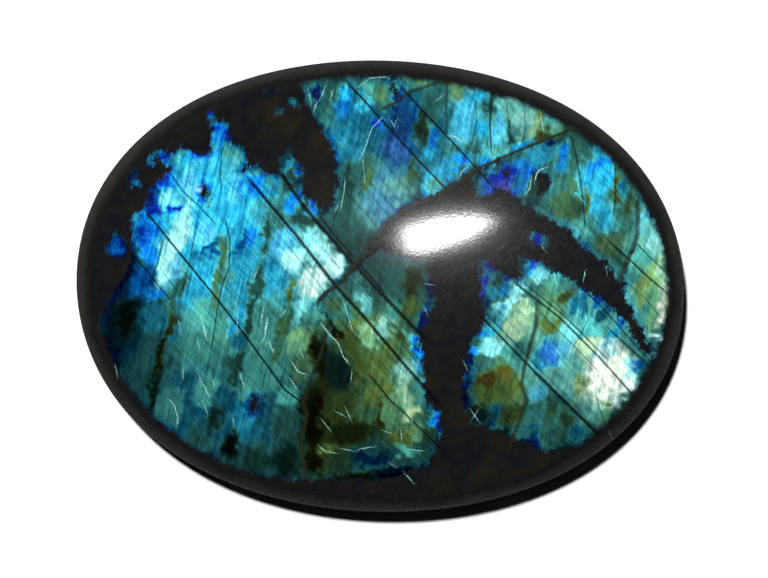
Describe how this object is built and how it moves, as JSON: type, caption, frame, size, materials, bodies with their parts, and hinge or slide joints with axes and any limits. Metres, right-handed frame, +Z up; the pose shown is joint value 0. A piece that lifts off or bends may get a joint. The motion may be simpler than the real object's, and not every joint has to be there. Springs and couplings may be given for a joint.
{
  "type": "polished labradorite palm stone",
  "caption": "Flattened oval stone of polished labradorite, with a low domed crown, a tight rounded edge all the way round and a flat face to rest on.",
  "frame": {"origin": "under the middle of the stone, on the surface that it rests on", "axes": "+X along the stone's length, +Y across its width, +Z up through the domed crown"},
  "size_m": [0.07, 0.052, 0.015],
  "materials": {
    "labradorite": "polished dark feldspar with blue, cyan and green flashes, twin lines and cleavage cracks"
  },
  "bodies": {
    "root": {"stone": "labradorite"}
  },
  "joints": []
}
